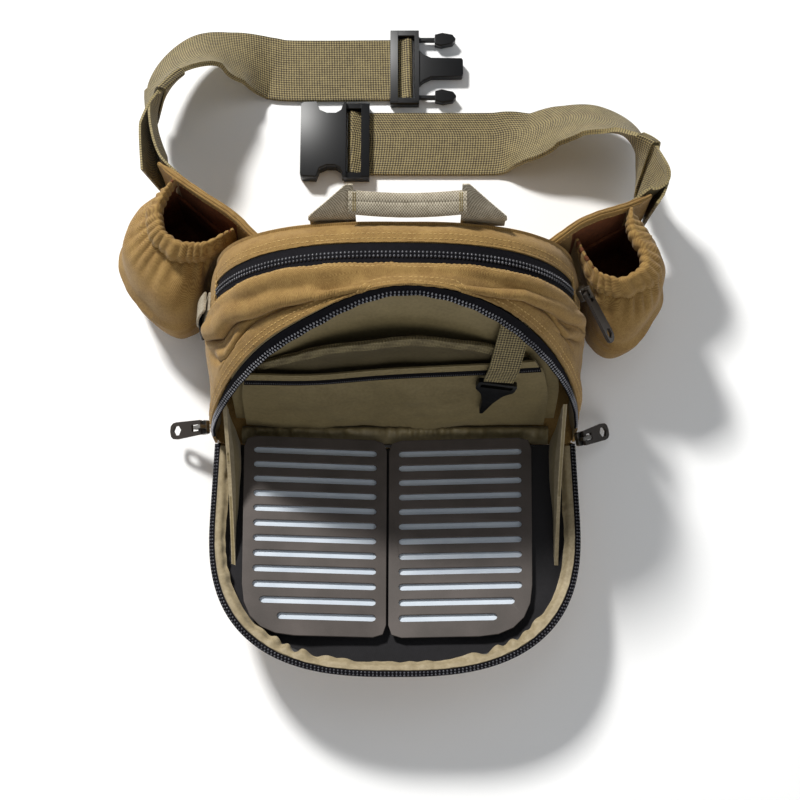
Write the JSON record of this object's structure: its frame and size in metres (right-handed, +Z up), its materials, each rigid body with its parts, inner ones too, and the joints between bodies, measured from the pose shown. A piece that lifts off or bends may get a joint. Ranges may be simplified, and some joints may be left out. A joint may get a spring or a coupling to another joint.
{
  "type": "fishing waist pack",
  "caption": "Open canvas fishing waist pack: arched zip body, fold-down flap with slotted fly panels, gathered bottle pockets on padded wings, and a webbing belt with a side-release buckle.",
  "frame": {"origin": "middle of the base panel's underside, on the floor", "axes": "+X to the right seen from the open front, +Y to the back panel and belt, +Z up"},
  "size_m": [0.3967, 0.5033, 0.1838],
  "materials": {
    "canvas": "waxed cotton canvas",
    "webbing": "woven webbing",
    "handle": "woven webbing",
    "lining": "coated nylon",
    "binding": "gathered binding",
    "zip_tape": "coil zip",
    "flap_lining": "brushed cloth",
    "plate": "matt",
    "foam": "closed-cell foam",
    "plastic": "moulded, matt",
    "pull": "matt",
    "metal": "dark plated"
  },
  "bodies": {
    "pack": {"back_panel": "canvas", "base_panel": "canvas", "rear_gusset": "canvas", "main_zip_tape": "zip_tape", "front_gusset": "canvas", "arch_zip_tape": "zip_tape", "divider": "lining", "slip_pocket": "lining", "pocket_band": "lining", "pocket_zip": "zip_tape", "zip_pocket": "lining", "hinge_pleat": "lining", "flap_shell": "canvas", "flap_zip_tape": "zip_tape", "flap_binding": "binding", "flap_lining": "flap_lining", "key_strap": "webbing", "key_hook": "plastic", "handle": "handle", "flap_gusset_left": "lining", "insert_plate_left": "plate", "insert_foam_left": "foam", "wing_left": "canvas", "pocket_left": "canvas", "belt_left": "webbing", "keeper_left": "webbing", "flap_slider_left": "metal", "flap_gusset_right": "lining", "insert_plate_right": "plate", "insert_foam_right": "foam", "wing_right": "canvas", "pocket_right": "canvas", "belt_right": "webbing", "keeper_right": "webbing", "flap_slider_right": "metal", "buckle_male": "plastic", "buckle_female": "plastic", "side_tab": "webbing", "side_ring": "plastic", "main_slider": "metal"},
    "main_pull": {"main_pull": "pull"},
    "left_pull": {"flap_pull_left": "pull"},
    "right_pull": {"flap_pull_right": "pull"}
  },
  "joints": [
    {"name": "main_pull_hinge", "type": "hinge", "parent": "pack", "child": "main_pull", "pos_m": [0.13098, 0.02733, 0.10114], "axis": [-0.3487, -0.6812, 0.6438], "range_deg": [0, 90]},
    {"name": "left_pull_hinge", "type": "hinge", "parent": "pack", "child": "left_pull", "pos_m": [-0.13963, -0.05053, 0.02962], "axis": [-0.0565, 0.9947, 0.0864], "range_deg": [0, 90]},
    {"name": "right_pull_hinge", "type": "hinge", "parent": "pack", "child": "right_pull", "pos_m": [0.13659, -0.05703, 0.0226], "axis": [0.2249, -0.9307, -0.2886], "range_deg": [0, 90]}
  ]
}
